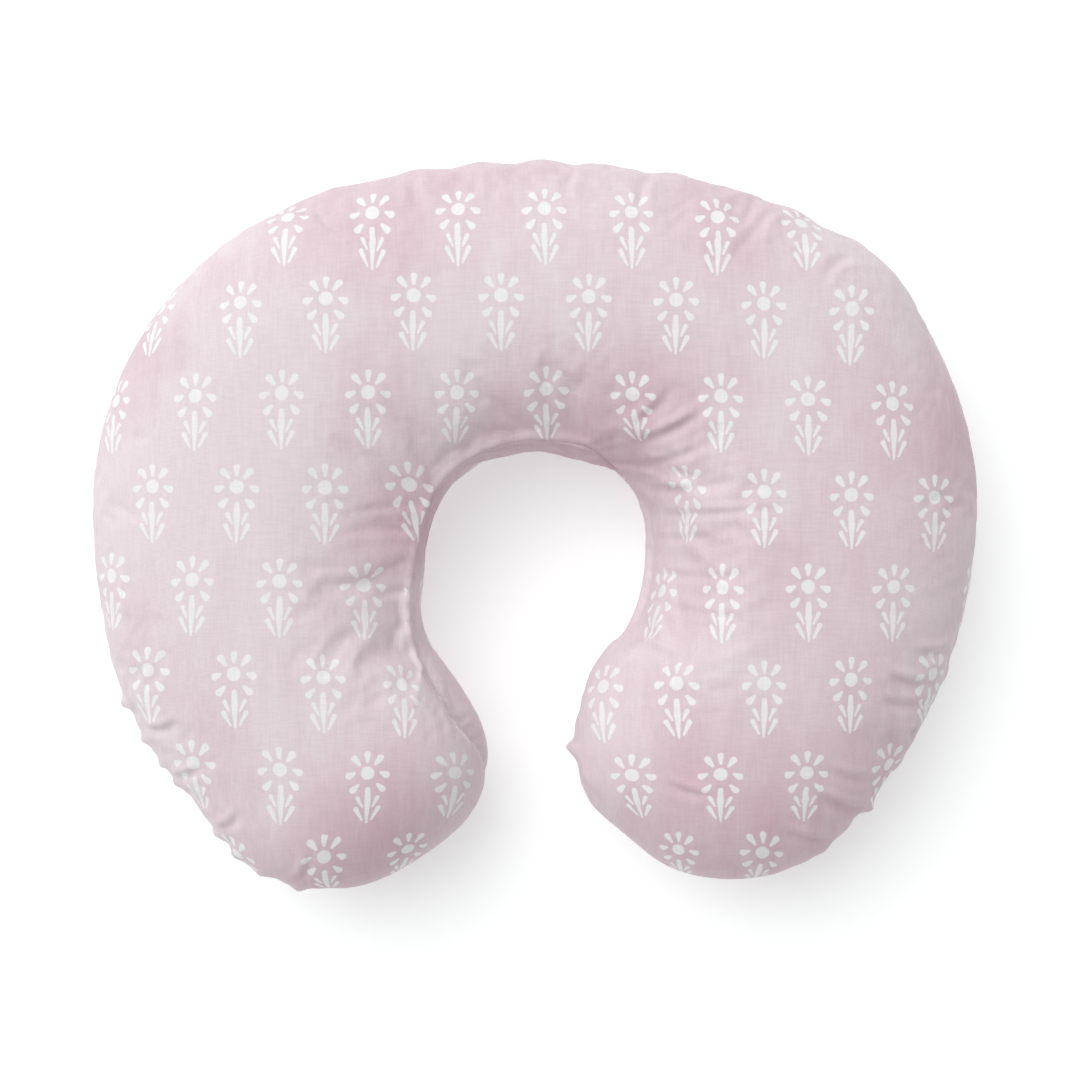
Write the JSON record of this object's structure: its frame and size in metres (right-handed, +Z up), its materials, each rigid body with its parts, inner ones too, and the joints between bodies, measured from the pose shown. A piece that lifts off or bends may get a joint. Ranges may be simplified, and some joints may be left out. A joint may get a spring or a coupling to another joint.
{
  "type": "nursing pillow",
  "caption": "C-shaped stuffed nursing pillow: a fibre-filled insert inside a removable printed slipcover with a zipper across the back.",
  "frame": {"origin": "middle of the bounding box, at the surface the pillow lies on", "axes": "+Z up, +X along the width from arm to arm, the waist opening faces -Y and the zippered back faces +Y"},
  "size_m": [0.52, 0.43, 0.13],
  "materials": {
    "cover_fabric": "plain-weave cotton, watercolour pink ground with off-white flowers",
    "ticking": "undyed cotton-blend ticking",
    "fill": "loose polyester fibre",
    "zipper_tape": "woven polyester tape",
    "zipper_teeth": "moulded, dyed to match",
    "zipper_metal": "nickel plated",
    "thread": "spun polyester sewing thread",
    "label": "satin ribbon, blank"
  },
  "bodies": {
    "pillow": {"cover_top_panel": "cover_fabric", "cover_bottom_panel": "cover_fabric", "cover_seam_allowance": "cover_fabric", "care_label": "label", "zipper_tape_upper": "zipper_tape", "zipper_tape_lower": "zipper_tape", "zipper_teeth_upper": "zipper_teeth", "zipper_teeth_lower": "zipper_teeth", "zipper_top_stops": "zipper_teeth", "zipper_bottom_stop": "zipper_teeth", "zipper_topstitching": "thread", "zipper_bartacks": "thread", "insert_top_casing": "ticking", "insert_bottom_casing": "ticking", "insert_seam_allowance": "ticking", "insert_closing_stitches": "thread", "insert_label": "label", "fiber_fill": "fill"},
    "slider": {"zipper_slider_body": "zipper_metal"},
    "pull": {"zipper_pull_tab": "zipper_metal"}
  },
  "joints": [
    {"name": "zipper_travel", "type": "hinge", "parent": "pillow", "child": "slider", "pos_m": [0, -0.205, 0.036], "axis": [0, 0, 1], "range_deg": [0, 29.77]},
    {"name": "pull_tab_swing", "type": "hinge", "parent": "slider", "child": "pull", "pos_m": [0.10731, 0.19879, 0.03481], "axis": [-0.1022, -0.3846, -0.9174], "range_deg": [0, 175]}
  ]
}
